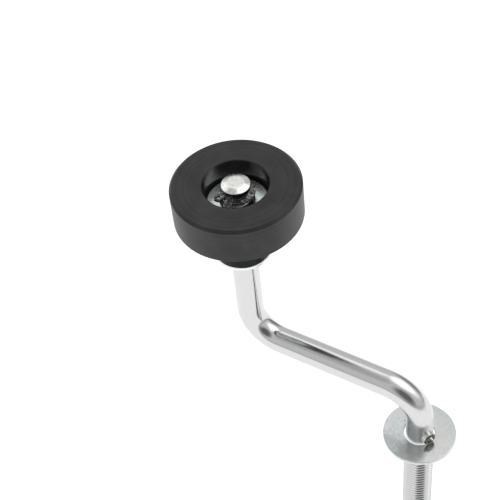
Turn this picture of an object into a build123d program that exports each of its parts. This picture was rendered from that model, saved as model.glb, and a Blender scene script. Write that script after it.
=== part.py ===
from build123d import *
import os

# A gate wheel: a roller on a cranked rod. One round rod is bent twice at a right angle. Its upper
# end is the wheel's axle, its lower end is a threaded stud that goes through the gate's frame.
#
# Frame: +Z is up, along the stud and the axle, which are parallel. The origin is on the stud's
# axis in the underside of the upper clamp washer, the face that the gate's frame bears on. The
# arm runs from the stud along -X to the axle. All sizes are in millimetres.

# Crank rod
ROD_D = 10.8            # the blank that an M12 thread is rolled on
CRANK_OFFSET = 75.0     # from the stud's axis to the axle's axis
ARM_Z = 25.5            # height of the arm's axis
BEND_R = 14.0           # both bends, at the rod's centre line
AXLE_CHAMFER_R = 2.2    # at the axle's top end, across the end face
AXLE_CHAMFER_Z = 0.95   # and along the axle
GROOVE_DEPTH = 0.3      # of the two retaining ring grooves

# M12 thread on the stud, drawn at its major diameter
THREAD_D = 12.0
THREAD_PITCH = 1.75
THREAD_CHAMFER = 1.5
STUD_TIP = 8.0          # stud beyond the nut

# Stack on the axle, from the lower retaining ring up
STACK_Z = 72.4          # underside of the lower retaining ring
RING_T = 1.0
THRUST_OD = 22.5
THRUST_T = 1.5
THRUST_PLAY = 1.1       # radial, between a thrust washer and the axle
SLEEVE_OD = 22.3
SLEEVE_L = 17.0
WHEEL_D = 48.6
WHEEL_W = 16.0
WHEEL_CHAMFER = 1.0
RECESS_PLAY = 1.0       # radial, between the upper thrust washer and the recess
RECESS_DEPTH = 9.7
RECESS_CHAMFER = 0.3
WHEEL_FLOAT = 2.9       # how far wheel, sleeve and washers slide along the axle
AXLE_TIP = 4.9          # axle beyond the upper retaining ring

# Retaining ring for the axle
RING_BACK = 1.8         # radial width opposite the gap
RING_FRONT = 1.1        # radial width beside the lugs
LUG_R = 1.7
LUG_HOLE_D = 1.5
LUG_SPACING = 5.2       # between the two holes
LUG_REACH = 1.8         # from the ring's bore to a hole's centre
RING_GAP = 1.9          # open width between the lugs
RING_TURN = -108.0      # direction of the upper ring's gap, in degrees from +X

# Spring pin across the stud, just above the clamp washer
PIN_D = 5.5
PIN_WALL = 1.1
PIN_SLOT = 0.9
PIN_L = 14.0
PIN_CHAMFER = 0.5
PIN_TURN = -28.0        # direction of the pin's front end, in degrees from +X
PIN_ROLL = 45.0         # direction of the pin's slot, from straight down towards +Y
PIN_LIFT = 0.25         # gap between the pin and the clamp washer

# Clamp washers, spring washer and nut
CLAMP_OD = 29.0
CLAMP_T = 1.5
CLAMP_SPACE = 82.0      # free stud between the two clamp washers
CLAMP_PLAY = 0.2        # radial, between a clamp washer and the thread or the rod
LOWER_OD = 24.0
LOWER_T = 2.5
SPRING_W = 4.45         # radial width of the spring washer
SPRING_T = 2.5
SPRING_PLAY = 0.1       # radial, between the spring washer and the thread
SPRING_CUT = 1.2
SPRING_SLANT = 30.0     # tilt of the spring washer's cut, in degrees
NUT_AF = 18.0           # across flats
NUT_H = 10.8
NUT_MOUTH = 0.3         # how far the countersinks reach past the thread, radially
WASHER_EDGE = 0.2       # chamfer on the washers' outer edges

# Clearances
RUN_CLEAR = 0.08        # radial, between the axle and what turns on it
FACE_CLEAR = 0.1        # axial, between faces that turn or slide past each other
SEAT_CLEAR = 0.03       # radial or axial, between pieces that are seated in each other

# Diameters that follow from those
GROOVE_D = ROD_D - 2 * GROOVE_DEPTH
THREAD_PITCH_D = THREAD_D - 0.6495 * THREAD_PITCH
THRUST_ID = ROD_D + 2 * THRUST_PLAY
RECESS_D = THRUST_OD + 2 * RECESS_PLAY
CLAMP_ID = max(THREAD_D, ROD_D) + 2 * CLAMP_PLAY
SPRING_ID = THREAD_D + 2 * SPRING_PLAY
SPRING_OD = SPRING_ID + 2 * SPRING_W

# Levels along the axle
WASHER_IN_Z = STACK_Z + RING_T + FACE_CLEAR
SLEEVE_Z = WASHER_IN_Z + THRUST_T + FACE_CLEAR
WHEEL_Z = SLEEVE_Z + SLEEVE_L + FACE_CLEAR
WASHER_OUT_Z = WHEEL_Z + WHEEL_W - RECESS_DEPTH + FACE_CLEAR
RING_OUT_Z = WASHER_OUT_Z + THRUST_T + WHEEL_FLOAT + FACE_CLEAR
AXLE_TOP_Z = RING_OUT_Z + RING_T + AXLE_TIP

# Levels along the stud
PIN_Z = CLAMP_T + PIN_LIFT + PIN_D / 2
SPRING_TOP_Z = -CLAMP_SPACE - LOWER_T
NUT_TOP_Z = SPRING_TOP_Z - SPRING_T
NUT_END_Z = NUT_TOP_Z - NUT_H
STUD_END_Z = NUT_END_Z - STUD_TIP

AXLE = Pos(-CRANK_OFFSET, 0, 0)


def upright(diameter, low, high):
    """A cylinder on the Z axis between two levels."""
    return Pos(0, 0, low) * Cylinder(
        diameter / 2, high - low, align=(Align.CENTER, Align.CENTER, Align.MIN)
    )


def end_edges(solid, radius):
    """The circular edges of one radius about the Z axis."""
    return [
        e
        for e in solid.edges().filter_by(GeomType.CIRCLE)
        if abs(e.radius - radius) < 0.001
    ]


def washer(outer_d, inner_d, thickness, level):
    """A flat washer on the Z axis with its underside at one level."""
    disc = upright(outer_d, level, level + thickness)
    disc = chamfer(end_edges(disc, outer_d / 2), WASHER_EDGE)
    return disc - upright(inner_d, level - 1, level + thickness + 1)


def bend(centre_x, centre_z, start):
    """A quarter turn of the rod about a centre in the XZ plane, from an angle above +X."""
    section = Plane.XY * Pos(BEND_R, 0) * Circle(ROD_D / 2)
    quarter = revolve(section, Axis.Y, -90)
    return Pos(centre_x, 0, centre_z) * Rot(0, -start, 0) * quarter


def crank_rod():
    """The bent rod with its two ring grooves, its pin hole and its threaded end."""
    axle = upright(ROD_D, ARM_Z + BEND_R, AXLE_TOP_Z)
    end = Plane.XZ * Pos(ROD_D / 2, AXLE_TOP_Z) * Polygon(
        (0, 0), (-AXLE_CHAMFER_R, 0), (0, -AXLE_CHAMFER_Z), align=None
    )
    axle -= revolve(end, Axis.Z)
    for ring_z in (STACK_Z, RING_OUT_Z):
        low = ring_z - SEAT_CLEAR
        high = ring_z + RING_T + SEAT_CLEAR
        axle -= upright(ROD_D + 2, low, high) - upright(GROOVE_D, low, high)
    arm = Pos(-CRANK_OFFSET / 2, 0, ARM_Z) * Rot(0, 90, 0) * Cylinder(
        ROD_D / 2, CRANK_OFFSET - 2 * BEND_R
    )
    neck = upright(ROD_D, 0, ARM_Z - BEND_R)
    neck -= pin_place() * Cylinder(PIN_D / 2 + SEAT_CLEAR, 2 * ROD_D)
    upper = bend(BEND_R - CRANK_OFFSET, ARM_Z + BEND_R, 180)
    lower = bend(-BEND_R, ARM_Z - BEND_R, 0)
    return AXLE * axle + upper + arm + lower + neck + stud()


def stud():
    """The threaded end: full diameter, and the pitch diameter inside the nut."""
    thread = upright(THREAD_D, STUD_END_Z, 0)
    thread = chamfer(thread.edges().filter_by(GeomType.CIRCLE).sort_by(Axis.Z)[0], THREAD_CHAMFER)
    held = upright(THREAD_D + 2, NUT_END_Z, NUT_TOP_Z)
    return thread - (held - upright(THREAD_PITCH_D, NUT_END_Z, NUT_TOP_Z))


def pin_place():
    """Where a cylinder along Z goes to lie along the spring pin."""
    return Pos(0, 0, PIN_Z) * Rot(0, 0, PIN_TURN) * Rot(0, 90, 0)


def spring_pin():
    """A rolled tube with a slot along it and chamfered ends."""
    rod = Cylinder(PIN_D / 2, PIN_L)
    rod = chamfer(rod.edges().filter_by(GeomType.CIRCLE), PIN_CHAMFER)
    tube = rod - Cylinder(PIN_D / 2 - PIN_WALL, PIN_L + 2)
    tube -= Rot(0, 0, PIN_ROLL) * Pos(PIN_D / 2, 0, 0) * Box(PIN_D, PIN_SLOT, PIN_L + 2)
    return pin_place() * tube


def retaining_ring(level, turn):
    """An external retaining ring with two lugs, its gap facing one direction."""
    bore_r = GROOVE_D / 2 + SEAT_CLEAR
    outer_r = bore_r + (RING_BACK + RING_FRONT) / 2
    off_centre = (RING_BACK - RING_FRONT) / 2
    hole_x = ((bore_r + LUG_REACH) ** 2 - (LUG_SPACING / 2) ** 2) ** 0.5
    flat = Pos(-off_centre, 0) * Circle(outer_r)
    for side in (-1, 1):
        lug = Pos(hole_x, side * LUG_SPACING / 2)
        flat += lug * Circle(LUG_R)
        flat -= lug * Circle(LUG_HOLE_D / 2)
    flat -= Circle(bore_r)
    flat -= Pos(outer_r, 0) * Rectangle(2 * outer_r, RING_GAP)
    return AXLE * Pos(0, 0, level) * Rot(0, 0, turn) * extrude(flat, RING_T)


def sleeve():
    """The spacer sleeve under the wheel."""
    body = upright(SLEEVE_OD, SLEEVE_Z, SLEEVE_Z + SLEEVE_L)
    body = chamfer(end_edges(body, SLEEVE_OD / 2), WASHER_EDGE)
    return AXLE * (body - upright(ROD_D + 2 * RUN_CLEAR, SLEEVE_Z - 1, WHEEL_Z))


def wheel():
    """The wheel: a turned disc with a recess in its outer face and a plain bore."""
    top = WHEEL_Z + WHEEL_W
    body = upright(WHEEL_D, WHEEL_Z, top)
    body = chamfer(end_edges(body, WHEEL_D / 2), WHEEL_CHAMFER)
    body -= upright(RECESS_D, top - RECESS_DEPTH, top + 1)
    rim = [e for e in end_edges(body, RECESS_D / 2) if e.center().Z > top - 0.1]
    body = chamfer(rim, RECESS_CHAMFER)
    return AXLE * (body - upright(ROD_D + 2 * RUN_CLEAR, WHEEL_Z - 1, top))


def spring_washer():
    """A split spring washer, pressed flat."""
    ring = upright(SPRING_OD, SPRING_TOP_Z - SPRING_T, SPRING_TOP_Z)
    ring -= upright(SPRING_ID, SPRING_TOP_Z - SPRING_T - 1, SPRING_TOP_Z + 1)
    cut = Pos(SPRING_OD / 2, 0, SPRING_TOP_Z - SPRING_T / 2) * Rot(SPRING_SLANT, 0, 0)
    return ring - cut * Box(SPRING_OD, SPRING_CUT, 4 * SPRING_T)


def nut():
    """A hexagon nut with turned corners and a countersunk bore."""
    across_corners = NUT_AF / 0.75 ** 0.5
    prism = Pos(0, 0, NUT_END_Z) * extrude(RegularPolygon(across_corners / 2, 6), NUT_H)
    turned = upright(across_corners, NUT_END_Z, NUT_TOP_Z)
    corner = (across_corners - NUT_AF) / 2
    turned = chamfer(end_edges(turned, across_corners / 2), corner / 2, corner)
    body = prism & turned
    bore_r = THREAD_PITCH_D / 2 + SEAT_CLEAR
    body -= upright(2 * bore_r, NUT_END_Z - 1, NUT_TOP_Z + 1)
    return chamfer(end_edges(body, bore_r), THREAD_D / 2 + NUT_MOUTH - bore_r)


def parts():
    """Every sub-part by its node's name."""
    return {
        "crank_rod": crank_rod(),
        "spring_pin": spring_pin(),
        "upper_clamp_washer": washer(CLAMP_OD, CLAMP_ID, CLAMP_T, 0),
        "lower_clamp_washer": washer(LOWER_OD, CLAMP_ID, LOWER_T, SPRING_TOP_Z),
        "spring_washer": spring_washer(),
        "clamp_nut": nut(),
        "lower_retaining_ring": retaining_ring(STACK_Z, RING_TURN + 180),
        "lower_thrust_washer": AXLE * washer(THRUST_OD, THRUST_ID, THRUST_T, WASHER_IN_Z),
        "spacer_sleeve": sleeve(),
        "wheel": wheel(),
        "upper_thrust_washer": AXLE * washer(THRUST_OD, THRUST_ID, THRUST_T, WASHER_OUT_Z),
        "upper_retaining_ring": retaining_ring(RING_OUT_Z, RING_TURN),
    }


os.makedirs("parts", exist_ok=True)
for name, solid in parts().items():
    export_step(solid, f"parts/{name}.step")
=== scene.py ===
import bpy
import bmesh
import math
from mathutils import Matrix, Vector

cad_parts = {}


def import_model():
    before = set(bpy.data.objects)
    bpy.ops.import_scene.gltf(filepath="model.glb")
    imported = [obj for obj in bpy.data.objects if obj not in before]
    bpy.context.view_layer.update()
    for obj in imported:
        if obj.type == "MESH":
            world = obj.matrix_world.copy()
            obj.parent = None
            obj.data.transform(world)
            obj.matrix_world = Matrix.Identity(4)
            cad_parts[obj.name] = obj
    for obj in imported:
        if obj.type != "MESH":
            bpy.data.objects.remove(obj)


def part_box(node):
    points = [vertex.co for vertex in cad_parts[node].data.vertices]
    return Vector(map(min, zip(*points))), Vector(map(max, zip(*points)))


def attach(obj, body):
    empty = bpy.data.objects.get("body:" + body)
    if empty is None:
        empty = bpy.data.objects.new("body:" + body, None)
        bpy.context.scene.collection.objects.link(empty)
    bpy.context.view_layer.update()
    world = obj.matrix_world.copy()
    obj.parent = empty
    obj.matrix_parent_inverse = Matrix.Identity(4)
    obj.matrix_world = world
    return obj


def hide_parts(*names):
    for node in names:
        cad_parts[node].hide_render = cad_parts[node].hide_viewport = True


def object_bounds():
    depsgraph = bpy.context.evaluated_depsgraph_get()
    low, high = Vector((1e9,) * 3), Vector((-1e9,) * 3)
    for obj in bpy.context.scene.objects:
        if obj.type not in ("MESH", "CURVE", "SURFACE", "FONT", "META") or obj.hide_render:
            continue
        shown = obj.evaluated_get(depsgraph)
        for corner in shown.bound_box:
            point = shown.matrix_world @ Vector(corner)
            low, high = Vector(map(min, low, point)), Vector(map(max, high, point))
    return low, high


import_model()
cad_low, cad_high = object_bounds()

# A gate wheel: a black roller on a cranked, zinc-plated rod with a threaded stud.
# Everything is in metres, in the frame of the CAD model: +Z along the stud and the axle, origin
# on the stud's axis in the underside of the upper clamp washer. The arm runs along -X.

MM = 0.001
DEG = math.radians(1)

# --- Sizes that the boxes of the CAD nodes don't give ---
ARM_Z = 25.5 * MM           # height of the arm's axis
BEND_R = 14 * MM            # rod's bends, at its centre line
BEND_SQUASH = 0.03          # share by which a bend flattens the bar, at its middle
AXLE_CHAMFER_R = 2.2 * MM   # turned chamfer of the axle's end: across, then along
AXLE_CHAMFER_Z = 0.95 * MM
GROOVE_DEPTH = 0.3 * MM     # of the retaining ring grooves
THREAD_PITCH = 1.75 * MM
THREAD_DEPTH = 1.1 * MM     # from crest to root
THREAD_CHAMFER = 1.5 * MM
THREAD_RUNOUT = 2.4 * MM
THRUST_BORE = 13.0 * MM
SLEEVE_BORE = 10.96 * MM    # the wheel's bore is the same
RECESS_D = 24.5 * MM
CLAMP_BORE = 12.4 * MM
SPRING_BORE = 12.2 * MM
SPRING_CUT = 1.2 * MM
SPRING_SLANT = 30 * DEG
NUT_FLATS = 18.0 * MM
PIN_D = 5.5 * MM
PIN_L = 14.0 * MM
PIN_WALL = 1.1 * MM
PIN_SLOT = 0.9 * MM
PIN_CHAMFER = 0.5 * MM
PIN_TURN = -28 * DEG       # direction of the pin's front end
PIN_ROLL = 45 * DEG        # direction of its slot, from straight down
RING_BACK = 1.8 * MM        # a retaining ring's width opposite its gap
RING_FRONT = 1.1 * MM       # and beside its lugs
RING_GAP = 1.9 * MM
RING_TURN = -108 * DEG      # direction of the upper ring's gap
LUG_R = 1.7 * MM
LUG_REACH = 1.8 * MM        # from the ring's bore to a lug's middle
LUG_HOLE_D = 1.5 * MM
LUG_SPACING = 5.2 * MM
THRUST_ROLL = 0.25 * MM     # radius of the washers' rolled edges
CLAMP_ROLL = 0.3 * MM
NUT_WASHER_ROLL = 0.35 * MM
FACE_CLEAR = 0.1 * MM       # between faces that turn on each other
SEAT_CLEAR = 0.03 * MM      # between pieces that are fitted together

# --- Sizes and places from the CAD nodes ---
rod_low, rod_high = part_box("crank_rod")
wheel_low, wheel_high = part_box("wheel")
ring_low, ring_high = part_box("upper_retaining_ring")
lower_ring_low, lower_ring_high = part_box("lower_retaining_ring")
pin_low, pin_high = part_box("spring_pin")
AXLE_X = (wheel_low.x + wheel_high.x) / 2
ROD_R = AXLE_X - rod_low.x
THREAD_R = rod_high.y
AXLE_TOP = rod_high.z
STUD_END = rod_low.z
PIN_Z = (pin_low.z + pin_high.z) / 2
RECESS_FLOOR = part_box("upper_thrust_washer")[0].z - FACE_CLEAR
RING_BORE_R = ROD_R - GROOVE_DEPTH + SEAT_CLEAR
# Lowest and highest edge of each retaining ring's groove
LOWER_GROOVE = (lower_ring_low.z - SEAT_CLEAR, lower_ring_high.z + SEAT_CLEAR)
UPPER_GROOVE = (ring_low.z - SEAT_CLEAR, ring_high.z + SEAT_CLEAR)
LOWER_BEND = (-BEND_R, ARM_Z - BEND_R)
UPPER_BEND = (AXLE_X + BEND_R, ARM_Z + BEND_R)


# --- Mesh helpers ---

def arc_corner(before, corner, after, radius, steps=4):
    """Points of the fillet that replaces one corner of an outline."""
    to_before = (before - corner).normalized()
    to_after = (after - corner).normalized()
    half = to_before.angle(to_after) / 2
    start = corner + to_before * radius / math.tan(half)
    end = corner + to_after * radius / math.tan(half)
    centre = corner + (to_before + to_after).normalized() * radius / math.sin(half)
    first = math.atan2(start.y - centre.y, start.x - centre.x)
    turn = math.atan2(end.y - centre.y, end.x - centre.x) - first
    turn = (turn + math.pi) % (2 * math.pi) - math.pi
    angles = [first + turn * i / steps for i in range(steps + 1)]
    return [centre + Vector((math.cos(a), math.sin(a))) * radius for a in angles]


def outline(corners):
    """A closed outline from (r, z, fillet radius) corners."""
    points = []
    for i, (r, z, fillet) in enumerate(corners):
        if fillet == 0:
            points.append(Vector((r, z)))
            continue
        before = Vector(corners[i - 1][:2])
        after = Vector(corners[(i + 1) % len(corners)][:2])
        points += arc_corner(before, Vector((r, z)), after, fillet)
    return points


def skin(bm, rows, closed):
    """Quads between neighbouring rows of vertices; closed joins each row's two ends."""
    for row, after in zip(rows, rows[1:]):
        count = len(row)
        for k in range(count if closed else count - 1):
            n = (k + 1) % count
            bm.faces.new((row[k], after[k], after[n], row[n]))


def lathe(points, x, segments=180):
    """A closed outline of (r, z) points turned about the vertical line at x."""
    bm = bmesh.new()
    rows = []
    for i in range(segments):
        turn = 2 * math.pi * i / segments
        c, s = math.cos(turn), math.sin(turn)
        rows.append([bm.verts.new((x + p.x * c, p.x * s, p.y)) for p in points])
    skin(bm, rows + rows[:1], True)
    return bm


def split_lathe(points, half_gap, slant, segments=120):
    """A closed outline of (r, z) points turned about Z, open at +X, its ends leaning by slant."""
    bm = bmesh.new()
    middle = sum(p.y for p in points) / len(points)
    rows = []
    for i in range(segments + 1):
        row = []
        for p in points:
            open_by = math.asin(half_gap / p.x)
            turn = open_by + (2 * math.pi - 2 * open_by) * i / segments
            turn += math.tan(slant) * (p.y - middle) / p.x
            row.append(bm.verts.new((p.x * math.cos(turn), p.x * math.sin(turn), p.y)))
        rows.append(row)
    skin(bm, rows, True)
    bm.faces.new(rows[0])
    bm.faces.new(rows[-1][::-1])
    return bm


def new_piece(name, bm):
    """Turns a bmesh into an object."""
    bmesh.ops.recalc_face_normals(bm, faces=bm.faces)
    mesh = bpy.data.meshes.new(name)
    bm.to_mesh(mesh)
    bm.free()
    piece = bpy.data.objects.new(name, mesh)
    bpy.context.scene.collection.objects.link(piece)
    return piece


def apply_modifiers(piece):
    """Replaces a piece's mesh by what its modifiers make of it."""
    view = bpy.context.evaluated_depsgraph_get()
    made = bpy.data.meshes.new_from_object(piece.evaluated_get(view))
    piece.modifiers.clear()
    piece.data = made


def round_edges(piece, width, segments=2, limit=40):
    """Rounds the edges of a piece that are sharper than a limit in degrees."""
    bevel = piece.modifiers.new("edges", "BEVEL")
    bevel.width = width
    bevel.segments = segments
    bevel.limit_method = "ANGLE"
    bevel.angle_limit = limit * DEG
    apply_modifiers(piece)


def shade(piece, sharp=32):
    """Smooth shading, but sharp where two faces meet at more than an angle in degrees."""
    bm = bmesh.new()
    bm.from_mesh(piece.data)
    for face in bm.faces:
        face.smooth = True
    for edge in bm.edges:
        edge.smooth = len(edge.link_faces) == 2 and edge.calc_face_angle(0) < sharp * DEG
    bm.to_mesh(piece.data)
    bm.free()
    weighted = piece.modifiers.new("even_normals", "WEIGHTED_NORMAL")
    weighted.keep_sharp = True


def settle(piece, node_name, body, material):
    """Gives a finished piece its shading, its material in a slot if it has none, and its body, and
    hides its CAD node.
    """
    shade(piece)
    if not piece.data.materials:
        piece.data.materials.append(material)
    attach(piece, body)
    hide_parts(node_name)


# --- Materials ---

BORED_ROUGHNESS = 0.14      # of the plastic inside the recess and the bore, and of the sleeve
DULL_UNTIL = 70 * MM        # the plating is duller on the stud's side, up to here along the bar
BRIGHT_FROM = 105 * MM
MIX_COLOURS = (6, 7)        # the Mix node's colour sockets, as other sockets share their names
MIX_RESULT = 2


def new_material(name, **values):
    """A material, its node tree and its shader, with values for the shader's sockets."""
    material = bpy.data.materials.new(name)
    material.use_nodes = True
    tree = material.node_tree
    shader = tree.nodes["Principled BSDF"]
    for key, value in values.items():
        shader.inputs[key.replace("_", " ")].default_value = value
    return material, tree, shader


def add(tree, kind, sources=(), **values):
    """Adds a node, links its first inputs to sources and sets properties or named inputs."""
    made = tree.nodes.new("ShaderNode" + kind)
    for key, value in values.items():
        if hasattr(made, key):
            setattr(made, key, value)
        else:
            made.inputs[key.replace("_", " ")].default_value = value
    for i, source in enumerate(sources):
        if isinstance(source, bpy.types.NodeSocket):
            tree.links.new(source, made.inputs[i])
        else:
            made.inputs[i].default_value = source
    return made


def ramp(tree, source, stops):
    """A colour ramp on a source, from (position, colour) stops."""
    made = add(tree, "ValToRGB", [source])
    while len(made.color_ramp.elements) < len(stops):
        made.color_ramp.elements.new(0.5)
    for element, (position, colour) in zip(made.color_ramp.elements, stops):
        element.position = position
        element.color = (*colour, 1)
    return made.outputs["Color"]


def noise(tree, vector, size, detail=3.0, stretch=(1, 1, 1), roughness=0.5, distortion=0.0):
    """Noise with features about size metres across, stretched along axes."""
    scaled = add(tree, "VectorMath", [vector, tuple(1 / (size * s) for s in stretch)],
                 operation="MULTIPLY")
    made = add(tree, "TexNoise", [scaled.outputs[0]], Scale=1.0, Detail=detail,
               Roughness=roughness, Distortion=distortion)
    return made.outputs["Fac"]


def remap(tree, source, start, end, low, high, **values):
    """Maps start and end to low and high, and stops there."""
    return add(tree, "MapRange", [source, start, end, low, high], **values).outputs["Result"]


def spread(tree, source, low, high):
    """Maps noise, which lies mostly between 0.3 and 0.7, to a range."""
    return remap(tree, source, 0.3, 0.7, low, high)


def maths(tree, operation, first, second):
    """One sum or product of two sources."""
    return add(tree, "Math", [first, second], operation=operation).outputs[0]


def mix(tree, factor, first, second):
    """The first colour where the factor is 0, the second where it is 1."""
    made = add(tree, "Mix", data_type="RGBA")
    tree.links.new(factor, made.inputs["Factor"])
    for source, socket in zip((first, second), MIX_COLOURS):
        tree.links.new(source, made.inputs[socket])
    return made.outputs[MIX_RESULT]


def lit(colour, light):
    """A colour made lighter or darker."""
    return tuple(light * v for v in colour)


def bump(tree, shader, layers):
    """Chains bump nodes for (height source, height in metres) layers into the shader."""
    normal = None
    for source, height in layers:
        made = add(tree, "Bump", Strength=1.0, Distance=height)
        tree.links.new(source, made.inputs["Height"])
        if normal:
            tree.links.new(normal, made.inputs["Normal"])
        normal = made.outputs["Normal"]
    tree.links.new(normal, shader.inputs["Normal"])


def straightened(tree):
    """Where a point of the bar would be if the bar were straight: across, across, along."""
    return add(tree, "Attribute", attribute_name="straight").outputs["Vector"]


def placed(tree):
    """A point's own place on its piece, in the CAD model's frame."""
    return add(tree, "TexCoord").outputs["Object"]


def zinc_bar():
    """Bright zinc on drawn bar: soft waves, faint drawing lines and a few specks."""
    material, tree, shader = new_material("zinc_bar", Metallic=1.0)
    at = straightened(tree)
    lines = noise(tree, at, 0.5 * MM, 2, stretch=(1, 1, 60))
    waves = noise(tree, at, 7 * MM, 1, stretch=(1, 1, 2.5))
    specks = noise(tree, at, 0.35 * MM, 2)
    grain = noise(tree, at, 0.7 * MM, 3)
    colour = ramp(tree, specks, [(0.22, (0.48, 0.48, 0.47)), (0.36, (0.645, 0.65, 0.645)),
                                 (0.7, (0.68, 0.685, 0.68))])
    tree.links.new(colour, shader.inputs["Base Color"])
    along = add(tree, "SeparateXYZ", [at]).outputs["Z"]
    duller = remap(tree, along, DULL_UNTIL, BRIGHT_FROM, 0.09, 0.0)
    uneven = maths(tree, "ADD", duller, spread(tree, lines, 0.07, 0.15))
    tree.links.new(uneven, shader.inputs["Roughness"])
    bump(tree, shader, [(waves, 0.05 * MM), (grain, 0.009 * MM), (lines, 0.002 * MM)])
    return material


def zinc_thread():
    """Zinc on the rolled thread: a little duller, painted lighter than the bar's zinc, with painted
    shade greying the roots.
    """
    material, tree, shader = new_material("zinc_thread", Metallic=1.0)
    at = placed(tree)
    parts = add(tree, "SeparateXYZ", [at])
    flat = add(tree, "CombineXYZ", [parts.outputs[0], parts.outputs[1], 0.0])
    radius = add(tree, "VectorMath", [flat.outputs[0]], operation="LENGTH")
    height_for_root_shade = remap(tree, radius.outputs["Value"], THREAD_R - THREAD_DEPTH, THREAD_R, 0.0, 1.0)
    # Painted shade: the colour darkens from the crests down into the thread's roots.
    colour = ramp(tree, height_for_root_shade, [(0.0, (0.55, 0.55, 0.54)), (0.3, (0.78, 0.785, 0.78)),
                                 (1.0, (0.86, 0.865, 0.86))])
    tree.links.new(colour, shader.inputs["Base Color"])
    grain = noise(tree, at, 0.4 * MM, 3)
    tree.links.new(spread(tree, grain, 0.10, 0.22), shader.inputs["Roughness"])
    bump(tree, shader, [(grain, 0.006 * MM)])
    return material


def cut_end():
    """The bar's ends: plated, rough on the axle's sawn face, smoother on its turned chamfer."""
    material, tree, shader = new_material("cut_end", Metallic=1.0)
    at = placed(tree)
    blotches = noise(tree, at, 1.3 * MM, 4, distortion=0.6)
    colour = ramp(tree, blotches, [(0.32, (0.66, 0.65, 0.63)), (0.5, (0.78, 0.775, 0.75)),
                                   (0.7, (0.86, 0.855, 0.84))])
    tree.links.new(colour, shader.inputs["Base Color"])
    height = add(tree, "SeparateXYZ", [at]).outputs["Z"]
    turned, sawn = AXLE_TOP - 0.12 * MM, AXLE_TOP - 0.02 * MM
    smoother = remap(tree, height, turned, sawn, -0.24, 0.0)
    uneven = maths(tree, "ADD", smoother, spread(tree, blotches, 0.38, 0.5))
    tree.links.new(uneven, shader.inputs["Roughness"])
    bump(tree, shader, [(blotches, 0.05 * MM), (noise(tree, at, 0.25 * MM, 2), 0.015 * MM)])
    return material


def zinc_sheet(name, light, smooth):
    """Zinc on punched sheet: faintly blue, mottled; light scales its colour, painting light in
    above 1 and shade in below 1; smooth is its least roughness.
    """
    material, tree, shader = new_material(name, Metallic=1.0)
    at = placed(tree)
    mottle = noise(tree, at, 1.1 * MM, 5, roughness=0.65, distortion=0.5)
    tint = noise(tree, at, 7 * MM, 1)
    scratches = noise(tree, at, 0.25 * MM, 2, stretch=(1, 14, 1))
    blue = ramp(tree, mottle, [(0.33, lit((0.50, 0.545, 0.57), light)),
                               (0.66, lit((0.66, 0.69, 0.70), light))])
    warm = ramp(tree, mottle, [(0.33, lit((0.60, 0.60, 0.59), light)),
                               (0.66, lit((0.70, 0.70, 0.685), light))])
    colour = mix(tree, spread(tree, tint, 0.0, 1.0), blue, warm)
    tree.links.new(colour, shader.inputs["Base Color"])
    tree.links.new(spread(tree, mottle, smooth + 0.12, smooth), shader.inputs["Roughness"])
    bump(tree, shader, [(mottle, 0.012 * MM), (scratches, 0.002 * MM)])
    return material


def phosphated_steel():
    """Black phosphated and oiled spring steel, with lighter patches painted in as highlights."""
    material, tree, shader = new_material("phosphated_steel", Metallic=0.9)
    at = placed(tree)
    painted_highlight_patches = noise(tree, at, 1.2 * MM, 4, distortion=0.5)
    # Painted highlights: the colour turns light grey in patches where the noise is high.
    colour = ramp(tree, painted_highlight_patches, [(0.4, (0.045, 0.045, 0.047)), (0.58, (0.16, 0.16, 0.16)),
                                 (0.7, (0.55, 0.55, 0.53))])
    tree.links.new(colour, shader.inputs["Base Color"])
    tree.links.new(spread(tree, painted_highlight_patches, 0.42, 0.22), shader.inputs["Roughness"])
    bump(tree, shader, [(noise(tree, at, 0.2 * MM, 3), 0.01 * MM)])
    return material


def pin_steel():
    """Spring steel of the pin: bright outside and in the bore; its sheared ends are painted dark as
    shade.
    """
    material, tree, shader = new_material("pin_steel", Metallic=1.0)
    at = placed(tree)
    grain = noise(tree, at, 0.5 * MM, 3)
    sides = ramp(tree, grain, [(0.3, (0.60, 0.60, 0.58)), (0.7, (0.80, 0.80, 0.78))])
    # Painted shade: the pin's ends get this dark colour.
    ends = ramp(tree, grain, [(0.3, (0.05, 0.046, 0.04)), (0.7, (0.17, 0.16, 0.14))])
    pin_axis = (math.cos(PIN_TURN), math.sin(PIN_TURN), 0)
    reach = add(tree, "VectorMath", [at, pin_axis], operation="DOT_PRODUCT").outputs["Value"]
    reach = add(tree, "Math", [reach], operation="ABSOLUTE").outputs[0]
    bright_until, dark_from = PIN_L / 2 - PIN_CHAMFER, PIN_L / 2 - 0.6 * PIN_CHAMFER
    painted_shade_on_end = remap(tree, reach, bright_until, dark_from, 0.0, 1.0)
    tree.links.new(mix(tree, painted_shade_on_end, sides, ends), shader.inputs["Base Color"])
    tree.links.new(spread(tree, grain, 0.2, 0.34), shader.inputs["Roughness"])
    bump(tree, shader, [(grain, 0.006 * MM)])
    return material


def lathe_lines(tree, at):
    """Distance from the axle's axis, and noise in the lines that a lathe's tool leaves."""
    off_axis = add(tree, "VectorMath", [at, (AXLE_X, 0, 0)], operation="SUBTRACT").outputs[0]
    flat = add(tree, "VectorMath", [off_axis, (1, 1, 0)], operation="MULTIPLY").outputs[0]
    radius = add(tree, "VectorMath", [flat], operation="LENGTH").outputs["Value"]
    height = add(tree, "SeparateXYZ", [at]).outputs["Z"]
    feed = maths(tree, "ADD", radius, height)
    track = add(tree, "CombineXYZ", [feed, 0.0, 0.0]).outputs[0]
    return radius, noise(tree, track, 0.9 * MM, 5, roughness=0.75)


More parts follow.
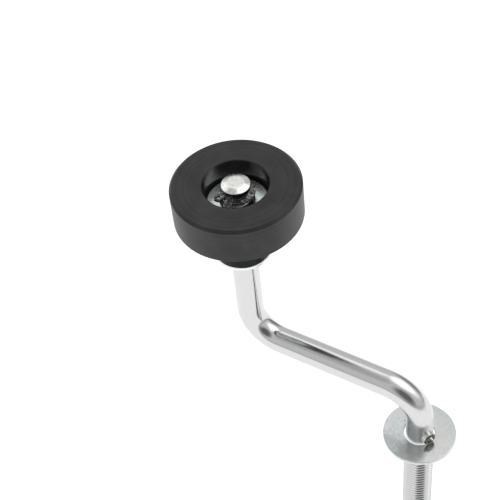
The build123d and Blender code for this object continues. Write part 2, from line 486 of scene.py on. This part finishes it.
def turned_plastic(name, colour, roughness, gloss, line_height):
    """Black engineering plastic from the lathe: fine rings on its faces, lines round its sides."""
    material, tree, shader = new_material(name, IOR=1.46)
    at = placed(tree)
    radius, lines = lathe_lines(tree, at)
    shiny = spread(tree, lines, 0.75 * gloss, 1.25 * gloss)
    tree.links.new(shiny, shader.inputs["Specular IOR Level"])
    smudges = noise(tree, at, 9 * MM, 3)
    shades = maths(tree, "MULTIPLY", maths(tree, "ADD", lines, smudges), 0.5)
    base = ramp(tree, shades, [(0.42, lit(colour, 0.75)), (0.58, lit(colour, 1.35))])
    tree.links.new(base, shader.inputs["Base Color"])
    inside, past_rim = RECESS_D / 2 + 0.03 * MM, RECESS_D / 2 + 0.2 * MM
    outside = remap(tree, radius, inside, past_rim, 0.0, 1.0)
    duller = remap(tree, outside, 0.0, 1.0, BORED_ROUGHNESS, roughness)
    uneven = maths(tree, "ADD", duller, spread(tree, lines, -0.04, 0.05))
    tree.links.new(uneven, shader.inputs["Roughness"])
    deeper = remap(tree, outside, 0.0, 1.0, 0.2, 1.0)
    grain = noise(tree, at, 0.22 * MM, 3, roughness=0.7)
    bump(tree, shader, [(maths(tree, "MULTIPLY", lines, deeper), line_height), (grain, 0.008 * MM)])
    return material


ZINC_BAR = zinc_bar()
ZINC_THREAD = zinc_thread()
CUT_END = cut_end()
# Copies of one zinc, painted lighter or darker: the thrust washers get painted light, the nut and
# split washer painted shade.
PAINTED_LIGHTER_ZINC_SHEET = zinc_sheet("zinc_sheet", 1.26, 0.22)
CLAMP_SHEET = zinc_sheet("zinc_clamp_washer", 0.98, 0.15)
PAINTED_DARKER_ZINC_NUT = zinc_sheet("zinc_nut", 0.80, 0.20)
PHOSPHATED = phosphated_steel()
PIN_STEEL = pin_steel()
WHEEL_BLACK = turned_plastic("wheel_black", (0.022, 0.022, 0.0222), 0.42, 0.37, 0.035 * MM)
# The sleeve's black is painted darker than the wheel's, as painted shade under the wheel.
SHADE_DARKENED_SLEEVE_BLACK = turned_plastic("sleeve_black_painted_shade", (0.008, 0.008, 0.0082), BORED_ROUGHNESS, 0.14,
                              0.02 * MM)


# --- Crank rod ---

BAR_COLUMNS = 96


def bar_station(x, z, lean, radius, squash=0.0):
    """A section of the bar: centre, lean from +Z towards -X, radii in and across the XZ plane."""
    return x, z, lean, radius * (1 - squash), radius * (1 + squash / 2)


def bend_stations(centre, side, first, last, steps=22):
    """Sections round one bend, about a centre in the XZ plane."""
    stations = []
    for i in range(1, steps):
        lean = first + (last - first) * i / steps
        x = centre[0] + side * BEND_R * math.cos(lean)
        z = centre[1] + side * BEND_R * math.sin(lean)
        stations.append(bar_station(x, z, lean, ROD_R, BEND_SQUASH * math.sin(2 * lean)))
    return stations


def straight_stations(start, end, lean, steps):
    """Sections along a straight stretch between two points of the XZ plane."""
    stations = []
    for i in range(steps + 1):
        x = start[0] + (end[0] - start[0]) * i / steps
        z = start[1] + (end[1] - start[1]) * i / steps
        stations.append(bar_station(x, z, lean, ROD_R))
    return stations


def axle_stations():
    """Sections of the axle: its two ring grooves, its chamfer and its end face."""
    groove_r = ROD_R - GROOVE_DEPTH
    levels = []
    for start, end in (LOWER_GROOVE, UPPER_GROOVE):
        levels += [(start, ROD_R), (start, groove_r), (end, groove_r), (end, ROD_R)]
    chamfer_z, face_r = AXLE_TOP - AXLE_CHAMFER_Z, ROD_R - AXLE_CHAMFER_R
    broken, soft = 0.12 * MM, 0.05 * MM
    edge_drop, edge_width = 0.08 * MM, 0.2 * MM
    levels += [(chamfer_z - broken, ROD_R), (chamfer_z + soft, ROD_R - broken)]
    levels += [(AXLE_TOP - edge_drop, face_r + edge_width), (AXLE_TOP, face_r - soft)]
    levels += [(AXLE_TOP, face_r * share) for share in (0.75, 0.5, 0.25)]
    return [bar_station(AXLE_X, z, 0, radius) for z, radius in levels]


def bar_rows(bm):
    """Rows of vertices from the top of the thread to the axle's end."""
    stations = straight_stations((0, 0), (0, LOWER_BEND[1]), 0, 6)
    stations += bend_stations(LOWER_BEND, 1, 0, 90 * DEG)
    stations += straight_stations((-BEND_R, ARM_Z), (UPPER_BEND[0], ARM_Z), 90 * DEG, 16)
    stations += bend_stations(UPPER_BEND, -1, 90 * DEG, 0)
    stations += straight_stations((AXLE_X, UPPER_BEND[1]), (AXLE_X, LOWER_GROOVE[0] - MM), 0, 8)
    stations += axle_stations()
    rows = []
    for x, z, lean, in_plane, sideways in stations:
        row = []
        for j in range(BAR_COLUMNS):
            turn = 2 * math.pi * j / BAR_COLUMNS
            out = in_plane * math.cos(turn)
            row.append(bm.verts.new((x + out * math.cos(lean), sideways * math.sin(turn),
                                     z + out * math.sin(lean))))
        rows.append(row)
    return rows


def thread_profile():
    """(share of the pitch from the crest's middle, depth) points of one M12 thread."""
    flank = 3 ** 0.5        # slope of a 60 degree thread
    crest = 1 / 16
    ease, drop = 0.02, 0.04 * MM
    points = [(-crest - ease, drop), (-crest + ease, 0), (crest - ease, 0), (crest + ease, drop)]
    for share in (0.38, 0.44, 0.56, 0.62):
        depth = flank * (min(share, 1 - share) - crest) * THREAD_PITCH
        points.append((share, min(depth, THREAD_DEPTH)))
    return points


def thread_rows(bm):
    """Columns of vertices whose rows follow the thread's helix, and how many rows a turn has."""
    profile = thread_profile()
    turns = range(-2, math.ceil(-STUD_END / THREAD_PITCH) + 2)
    columns = []
    for j in range(BAR_COLUMNS):
        turn = 2 * math.pi * j / BAR_COLUMNS
        column = []
        for whole in turns:
            for share, depth in profile:
                z = STUD_END + (whole + share + j / BAR_COLUMNS) * THREAD_PITCH
                z = min(max(z, STUD_END), 0)
                grown = min(max(-z / THREAD_RUNOUT, 0), 1)
                radius = ROD_R + (THREAD_R - depth - ROD_R) * grown
                radius = min(radius, THREAD_R - THREAD_CHAMFER + z - STUD_END)
                column.append(bm.verts.new((radius * math.cos(turn), radius * math.sin(turn), z)))
        columns.append(column)
    return columns, len(profile)


def thread(bm):
    """Skins the thread, whose last column meets the first a pitch higher; gives its end's loop."""
    columns, a_turn = thread_rows(bm)
    count = len(columns[0])
    for j in range(BAR_COLUMNS):
        lift = a_turn if j == BAR_COLUMNS - 1 else 0
        here, after = columns[j], columns[(j + 1) % BAR_COLUMNS]
        for k in range(count - 1 - lift):
            bm.faces.new((here[k], after[k + lift], after[k + lift + 1], here[k + 1]))
    return [column[0] for column in columns]


def drill(piece, place, radius, length):
    """Cuts a round hole through a piece; place turns the Z axis to the hole's axis."""
    bm = bmesh.new()
    bmesh.ops.create_cone(bm, cap_ends=True, segments=48, radius1=radius, radius2=radius,
                          depth=length)
    bm.transform(place)
    cutter = new_piece("cutter", bm)
    cut = piece.modifiers.new("hole", "BOOLEAN")
    cut.operation = "DIFFERENCE"
    cut.solver = "EXACT"
    cut.object = cutter
    apply_modifiers(piece)
    bpy.data.objects.remove(cutter)


def straighten(point):
    """Where a point of the bent bar would be if the bar were straight."""
    x, y, z = point
    quarter = BEND_R * math.pi / 2
    arm = UPPER_BEND[0] - LOWER_BEND[0]
    if x > LOWER_BEND[0] and z < LOWER_BEND[1]:
        return x, y, z
    if x > LOWER_BEND[0]:
        across, up = x - LOWER_BEND[0], z - LOWER_BEND[1]
        return math.hypot(across, up) - BEND_R, y, LOWER_BEND[1] + BEND_R * math.atan2(up, across)
    if x > UPPER_BEND[0]:
        return z - ARM_Z, y, LOWER_BEND[1] + quarter + LOWER_BEND[0] - x
    start = LOWER_BEND[1] + quarter - arm
    if z < UPPER_BEND[1]:
        across, down = UPPER_BEND[0] - x, UPPER_BEND[1] - z
        return BEND_R - math.hypot(across, down), y, start + BEND_R * math.atan2(across, down)
    return x - AXLE_X, y, start + quarter + z - UPPER_BEND[1]


def pin_place():
    """Turns the Z axis to the spring pin's axis."""
    turned = Matrix.Rotation(PIN_TURN, 4, "Z") @ Matrix.Rotation(90 * DEG, 4, "Y")
    return Matrix.Translation((0, 0, PIN_Z)) @ turned


ROD_FINISHES = (ZINC_BAR, ZINC_THREAD, CUT_END)
ROD_WELD = 0.002 * MM       # the thread and the bar join where their vertices are this close


def rod_finish(z):
    """The finish of the rod's faces at a height."""
    if z > AXLE_TOP - AXLE_CHAMFER_Z or z < STUD_END + 0.01 * MM:
        return CUT_END
    return ZINC_THREAD if z < 0 else ZINC_BAR


def crank_rod():
    """The bent bar with its rolled thread, ring grooves and cross hole."""
    bm = bmesh.new()
    rows = bar_rows(bm)
    skin(bm, rows, True)
    bm.faces.new(rows[-1])
    stud_end = thread(bm)
    bm.faces.new(stud_end)
    bmesh.ops.remove_doubles(bm, verts=bm.verts, dist=ROD_WELD)
    piece = new_piece("bent_bar", bm)
    drill(piece, pin_place(), PIN_D / 2 + SEAT_CLEAR, 3 * ROD_R)
    mesh = piece.data
    straight = mesh.attributes.new("straight", "FLOAT_VECTOR", "POINT")
    straight.data.foreach_set("vector", [c for v in mesh.vertices for c in straighten(v.co)])
    mesh.materials.clear()
    for material in ROD_FINISHES:
        mesh.materials.append(material)
    for face in mesh.polygons:
        face.material_index = ROD_FINISHES.index(rod_finish(face.center.z))
    settle(piece, "crank_rod", "crank", ZINC_BAR)


# --- Pieces on the axle ---

def flat_washer(name, bore, roll, node_name, body, material):
    """A punched washer: its upper outer edge is rolled, its other edges are sharper."""
    low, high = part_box(node_name)
    x, outer = (low.x + high.x) / 2, (high.x - low.x) / 2
    sharp, bore_edge = 0.08 * MM, 0.12 * MM
    points = outline([(bore / 2, low.z, sharp), (outer, low.z, sharp),
                      (outer, high.z, roll), (bore / 2, high.z, bore_edge)])
    settle(new_piece(name, lathe(points, x)), node_name, body, material)


def lug_points(lug, centre, outer):
    """Points round a lug, from the gap until they meet the ring's outer circle."""
    first = math.asin((RING_GAP - LUG_SPACING) / 2 / LUG_R)
    step, past_gap = 6, 60 * DEG
    points = []
    for i in range(40):
        turn = first + i * step * DEG
        point = lug + LUG_R * Vector((math.cos(turn), math.sin(turn)))
        if turn > past_gap and (point - centre).length < outer:
            break
        points.append(point)
    return points


def plier_hole(x, y):
    """Points round the hole of a lug."""
    turns = [2 * math.pi * i / 24 for i in range(24)]
    middle = Vector((x, y))
    return [middle + LUG_HOLE_D / 2 * Vector((math.cos(t), math.sin(t))) for t in turns]


def ring_outline():
    """Outline of a retaining ring about the origin, its gap towards +X, and its two holes."""
    outer = RING_BORE_R + (RING_BACK + RING_FRONT) / 2
    shift = (RING_FRONT - RING_BACK) / 2
    lug_x = math.sqrt((RING_BORE_R + LUG_REACH) ** 2 - (LUG_SPACING / 2) ** 2)
    lug = Vector((lug_x, LUG_SPACING / 2))
    half = [Vector((math.sqrt(RING_BORE_R ** 2 - RING_GAP ** 2 / 4), RING_GAP / 2))]
    half += lug_points(lug, Vector((shift, 0)), outer)
    start = math.atan2(half[-1].y, half[-1].x - shift)
    steps = 36
    for i in range(1, steps + 1):
        turn = start + (math.pi - start) * i / steps
        half.append(Vector((shift + outer * math.cos(turn), outer * math.sin(turn))))
    loop = half + [Vector((p.x, -p.y)) for p in half[-2::-1]]
    edge = math.asin(RING_GAP / 2 / RING_BORE_R)
    steps = 72
    for i in range(1, steps):
        turn = -edge - (2 * math.pi - 2 * edge) * i / steps
        loop.append(RING_BORE_R * Vector((math.cos(turn), math.sin(turn))))
    return [loop, plier_hole(lug.x, -lug.y), plier_hole(lug.x, lug.y)]


def retaining_ring(name, node_name, turn):
    """A stamped retaining ring in its groove."""
    low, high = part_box(node_name)
    bm = bmesh.new()
    for loop in ring_outline():
        verts = [bm.verts.new((p.x, p.y, 0)) for p in loop]
        for i, vert in enumerate(verts):
            bm.edges.new((vert, verts[i - 1]))
    bmesh.ops.triangle_fill(bm, edges=bm.edges, use_beauty=True, use_dissolve=False)
    grown = bmesh.ops.extrude_face_region(bm, geom=bm.faces[:])
    top = [v for v in grown["geom"] if isinstance(v, bmesh.types.BMVert)]
    bmesh.ops.translate(bm, verts=top, vec=(0, 0, high.z - low.z))
    bm.transform(Matrix.Translation((AXLE_X, 0, low.z)) @ Matrix.Rotation(turn, 4, "Z"))
    piece = new_piece(name, bm)
    round_edges(piece, 0.07 * MM)
    settle(piece, node_name, "crank", PHOSPHATED)


def spacer_sleeve():
    """The sleeve between the wheel and the lower thrust washer."""
    low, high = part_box("spacer_sleeve")
    outer, bore, soft = (high.x - low.x) / 2, SLEEVE_BORE / 2, 0.3 * MM
    points = outline([(bore, low.z, soft), (outer, low.z, soft),
                      (outer, high.z, soft), (bore, high.z, soft)])
    piece = new_piece("turned_sleeve", lathe(points, AXLE_X))
    settle(piece, "spacer_sleeve", "sleeve", SHADE_DARKENED_SLEEVE_BLACK)


def wheel():
    """The wheel: chamfered edges broken by the tool, a recess in the outer face, a plain bore."""
    low, high = wheel_low.z, wheel_high.z
    outer, bore = (wheel_high.x - wheel_low.x) / 2, SLEEVE_BORE / 2
    bevel, soft = 1.0 * MM, 0.22 * MM
    recess, rim, crisp = RECESS_D / 2, 0.3 * MM, 0.1 * MM
    corner, bore_edge = 0.4 * MM, 0.2 * MM
    points = outline([
        (bore, low, bore_edge), (outer - bevel, low, soft), (outer, low + bevel, soft),
        (outer, high - bevel, soft), (outer - bevel, high, soft), (recess + rim, high, crisp),
        (recess, high - rim, crisp), (recess, RECESS_FLOOR, corner),
        (bore, RECESS_FLOOR, bore_edge),
    ])
    settle(new_piece("turned_wheel", lathe(points, AXLE_X, 240)), "wheel", "wheel", WHEEL_BLACK)


# --- Pieces on the stud ---

def spring_pin():
    """A rolled tube with a slot along it and chamfered ends."""
    outer, inner, end = PIN_D / 2, PIN_D / 2 - PIN_WALL, PIN_L / 2
    soft = 0.08 * MM
    points = outline([
        (inner, -end, soft), (outer - PIN_CHAMFER, -end, soft), (outer, PIN_CHAMFER - end, soft),
        (outer, end - PIN_CHAMFER, soft), (outer - PIN_CHAMFER, end, soft), (inner, end, soft),
    ])
    bm = split_lathe(points, PIN_SLOT / 2, slant=0, segments=64)
    bm.transform(pin_place() @ Matrix.Rotation(PIN_ROLL, 4, "Z"))
    settle(new_piece("rolled_pin", bm), "spring_pin", "crank", PIN_STEEL)


def spring_washer():
    """A split washer of square wire, pressed flat."""
    low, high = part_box("spring_washer")
    outer, bore = (high.y - low.y) / 2, SPRING_BORE / 2
    soft = 0.3 * MM
    points = outline([(bore, low.z, soft), (outer, low.z, soft),
                      (outer, high.z, soft), (bore, high.z, soft)])
    bm = split_lathe(points, SPRING_CUT / 2 / math.cos(SPRING_SLANT), -SPRING_SLANT)
    settle(new_piece("split_washer", bm), "spring_washer", "crank", PAINTED_DARKER_ZINC_NUT)


def nut_section(low, high, from_corner):
    """(r, z) points of the nut's section, at an angle from its nearest corner."""
    flat_r, half_side = NUT_FLATS / 2, 30 * DEG
    bore, mouth = THREAD_R - THREAD_DEPTH / 2, THREAD_R + 0.3 * MM
    worn, face_r, slope = 0.12 * MM, 0.95 * NUT_FLATS / 2, math.tan(30 * DEG)
    side = flat_r / math.cos(half_side - from_corner)
    side = min(side, flat_r / math.cos(half_side) - worn)
    drop = (side - face_r) * slope
    return [(bore, low + mouth - bore), (mouth, low), (face_r, low), (side, low + drop),
            (side, high - drop), (face_r, high), (mouth, high), (bore, high - mouth + bore)]


def nut():
    """A hexagon nut: flats with rounded corners, chamfered faces and a countersunk bore."""
    low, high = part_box("clamp_nut")
    bm = bmesh.new()
    columns = 180
    rows = []
    for i in range(columns):
        turn = 2 * math.pi * i / columns
        from_corner = abs((turn + 30 * DEG) % (60 * DEG) - 30 * DEG)
        points = nut_section(low.z, high.z, from_corner)
        rows.append([bm.verts.new((r * math.cos(turn), r * math.sin(turn), z)) for r, z in points])
    skin(bm, rows + rows[:1], True)
    settle(new_piece("hex_nut", bm), "clamp_nut", "crank", PAINTED_DARKER_ZINC_NUT)


crank_rod()
retaining_ring("upper_clip", "upper_retaining_ring", RING_TURN)
retaining_ring("lower_clip", "lower_retaining_ring", RING_TURN + math.pi)
flat_washer("recess_washer", THRUST_BORE, THRUST_ROLL, "upper_thrust_washer", "thrust_washers",
            PAINTED_LIGHTER_ZINC_SHEET)
flat_washer("sleeve_washer", THRUST_BORE, THRUST_ROLL, "lower_thrust_washer", "thrust_washers",
            PAINTED_LIGHTER_ZINC_SHEET)
spacer_sleeve()
wheel()
spring_pin()
flat_washer("large_washer", CLAMP_BORE, CLAMP_ROLL, "upper_clamp_washer", "crank", CLAMP_SHEET)
flat_washer("nut_washer", CLAMP_BORE, NUT_WASHER_ROLL, "lower_clamp_washer", "crank", CLAMP_SHEET)
spring_washer()
nut()


# --- Stage: a white table in a bright studio ---

FLOOR_R = 2.5
FLOOR_WHITE = 0.85
FLOOR_SHINE = 0.42          # light that the table gives off itself


def floor():
    """A white table at the height of the stud's end, lit a little from within."""
    bm = bmesh.new()
    bmesh.ops.create_circle(bm, cap_ends=True, segments=128, radius=FLOOR_R)
    bmesh.ops.translate(bm, verts=bm.verts, vec=(AXLE_X / 2, 0, cad_low.z))
    table = new_piece("floor", bm)
    material, _, shader = new_material("floor", Roughness=0.9)
    shader.inputs["Base Color"].default_value = (FLOOR_WHITE, FLOOR_WHITE, FLOOR_WHITE, 1)
    shader.inputs["Specular IOR Level"].default_value = 0.0
    shader.inputs["Emission Color"].default_value = (1, 1, 1, 1)
    shader.inputs["Emission Strength"].default_value = FLOOR_SHINE
    table.data.materials.append(material)


def direction(azimuth, elevation):
    """A unit vector; azimuth is from +X towards +Y, both in degrees."""
    flat = math.cos(elevation * DEG)
    turn = azimuth * DEG
    return (flat * math.cos(turn), flat * math.sin(turn), math.sin(elevation * DEG))


# Soft patches of the studio: direction, radii in degrees where they are full and where they end,
# and how much brighter or darker they are than the walls.
WALL = 0.70
PATCHES = (
    (direction(48, 60), 23, 33, 0.85),      # the big softbox, on the camera's right
    (direction(28, 35), 9, 22, 0.55),       # a glow under the softbox
    (direction(140, 57), 8, 16, 0.72),      # a lamp on the far side
    (direction(175, 35), 14, 30, 0.50),     # a window on the left
    (direction(-52, 30), 14, 34, -0.56),    # the dark side that the camera looks from
    (direction(75, 6), 12, 30, -0.38),      # a dark stretch at the wall's foot, far right
    (direction(-135, 60), 5, 25, -0.20),    # a darker stretch of ceiling on the left
)
HORIZON_DARK = 0.28         # how much darker the walls are at the horizon
HORIZON_TOP = 0.16          # sine of the elevation where that darkness ends


def patch(tree, towards, centre, inner, outer, amount):
    """How much one soft patch adds in each direction."""
    near = add(tree, "VectorMath", [towards, centre], operation="DOT_PRODUCT").outputs["Value"]
    return remap(tree, near, math.cos(outer * DEG), math.cos(inner * DEG), 0.0, amount,
                 interpolation_type="SMOOTHSTEP")


def world():
    """Grey walls with soft bright and dark patches, darker down at the horizon."""
    made = bpy.data.worlds.new("studio")
    bpy.context.scene.world = made
    made.use_nodes = True
    tree = made.node_tree
    towards = add(tree, "TexCoord").outputs["Generated"]
    up = add(tree, "SeparateXYZ", [towards]).outputs["Z"]
    light = remap(tree, up, 0.0, HORIZON_TOP, WALL - HORIZON_DARK, WALL)
    for values in PATCHES:
        light = maths(tree, "ADD", light, patch(tree, towards, *values))
    tree.links.new(light, tree.nodes["Background"].inputs["Color"])


# The camera looks down past the arm, a little rolled.
CAMERA_PLACE = Vector((110.97, -257.5, 415.94)) * MM
CAMERA_LOOK = Vector((-0.39326, 0.55331, -0.7343))
CAMERA_ROLL = 6.68 * DEG
LENS = 88.47                # in mm, like the sensor's width
SENSOR_WIDTH = 36
NEAREST = 10 * MM           # the camera shows nothing nearer than this


def camera():
    """The camera, whose place, roll and lens were fitted to the photo."""
    data = bpy.data.cameras.new("camera")
    data.lens = LENS
    data.sensor_width = SENSOR_WIDTH
    data.clip_start = NEAREST
    made = bpy.data.objects.new("camera", data)
    bpy.context.scene.collection.objects.link(made)
    ahead = CAMERA_LOOK.normalized()
    level = ahead.cross(Vector((0, 0, 1))).normalized()
    right = Matrix.Rotation(CAMERA_ROLL, 3, ahead) @ level
    turned = Matrix((right, right.cross(ahead), -ahead)).transposed().to_4x4()
    turned.translation = CAMERA_PLACE
    made.matrix_world = turned
    bpy.context.scene.camera = made


floor()
world()
camera()
bpy.context.scene.view_settings.view_transform = "Standard"
